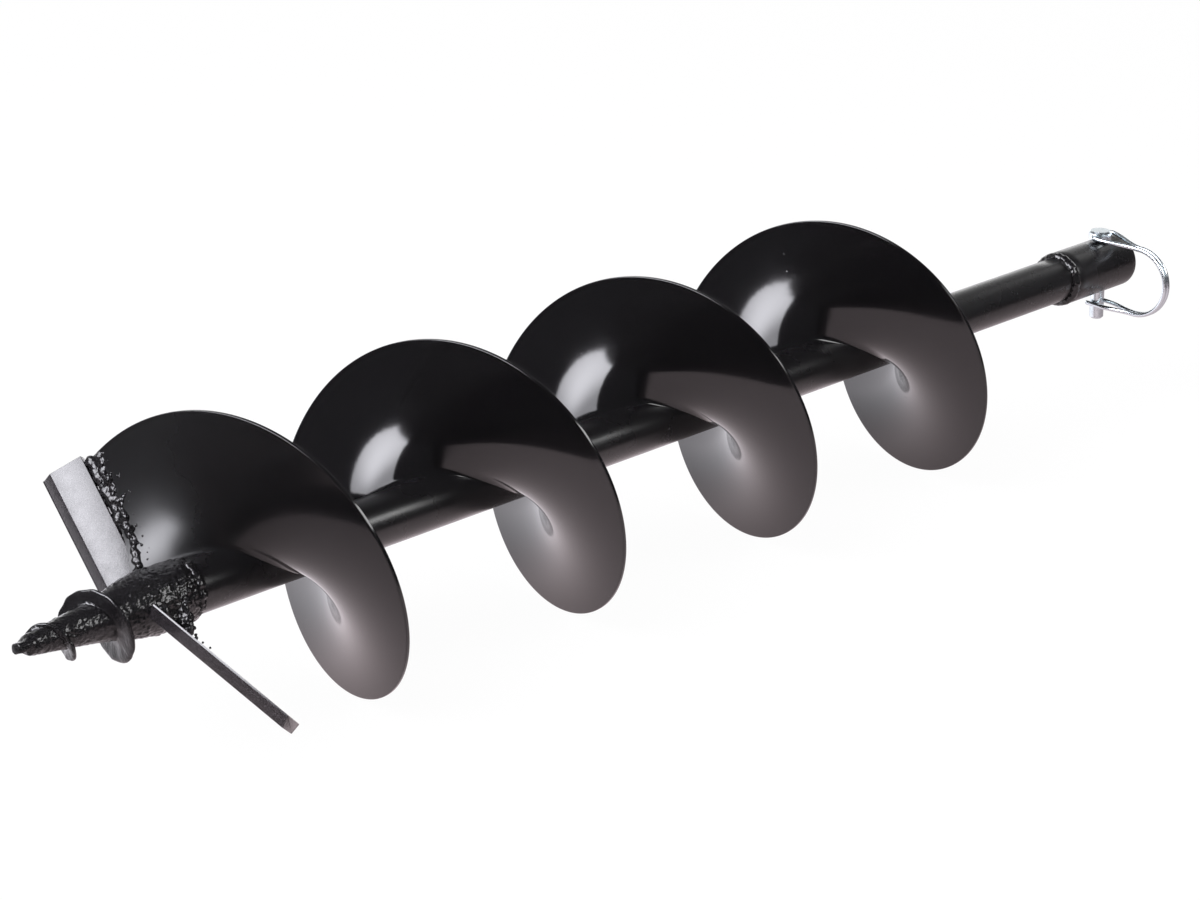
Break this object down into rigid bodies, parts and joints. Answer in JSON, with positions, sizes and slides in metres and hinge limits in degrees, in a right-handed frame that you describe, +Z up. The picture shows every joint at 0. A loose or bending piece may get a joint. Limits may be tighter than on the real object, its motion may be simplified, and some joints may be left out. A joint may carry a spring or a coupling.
{
  "type": "earth auger bit",
  "caption": "Earth auger bit for a hand-held power digger: a tube with a right-hand helical flight, pilot screw, cutter blades, a pinned drive socket and a spring bail on its lock pin.",
  "frame": {"origin": "on the axis of the bit, at the open mouth of the drive socket", "axes": "+X along the axis, out of the socket mouth and away from the pilot; +Z up along the lock pin, out of its head"},
  "size_m": [0.8, 0.1606, 0.1498],
  "materials": {
    "gloss_black_enamel": "gloss black enamel on mild steel, soft orange peel",
    "enamelled_weld": "gloss black enamel over lumpy weld beads",
    "enamelled_pilot": "gloss black enamel over a rough forged and welded surface",
    "enamelled_cutter": "gloss enamel on flat bar with a ground bevel, faintly speckled",
    "zinc_plated_steel": "bright blue-white zinc plate with fine turning marks",
    "zinc_plated_wire": "bright zinc-plated spring wire"
  },
  "bodies": {
    "auger": {"main_tube": "gloss_black_enamel", "coupling_sleeve": "gloss_black_enamel", "sleeve_weld": "enamelled_weld", "flight_turn_1": "gloss_black_enamel", "flight_turn_2": "gloss_black_enamel", "flight_turn_3": "gloss_black_enamel", "flight_turn_4": "gloss_black_enamel", "flight_seam_welds": "enamelled_weld", "root_weld_1": "enamelled_weld", "root_weld_2": "enamelled_weld", "root_weld_3": "enamelled_weld", "root_weld_4": "enamelled_weld", "pilot_point": "enamelled_pilot", "pilot_screw": "enamelled_pilot", "pilot_hub_weld": "enamelled_weld", "cutter_blade_a": "enamelled_cutter", "cutter_blade_b": "enamelled_cutter", "cutter_weld_a": "enamelled_weld", "cutter_weld_b": "enamelled_weld", "cutter_hub_weld": "enamelled_weld"},
    "lock_pin": {"lock_pin": "zinc_plated_steel"},
    "bail": {"bail_wire": "zinc_plated_wire"}
  },
  "joints": [
    {"name": "pin_pull", "type": "slide", "parent": "auger", "child": "lock_pin", "axis": [0, 0, 1], "range_m": [0, 0.05]},
    {"name": "bail_swing", "type": "hinge", "parent": "lock_pin", "child": "bail", "pos_m": [-0.016, 0, 0.0177], "axis": [-1, 0, 0], "range_deg": [0, 180]}
  ],
  "couplings": [
    {"joint": "pin_pull", "follows": "bail_swing", "m_per_rad": 0.0159}
  ]
}
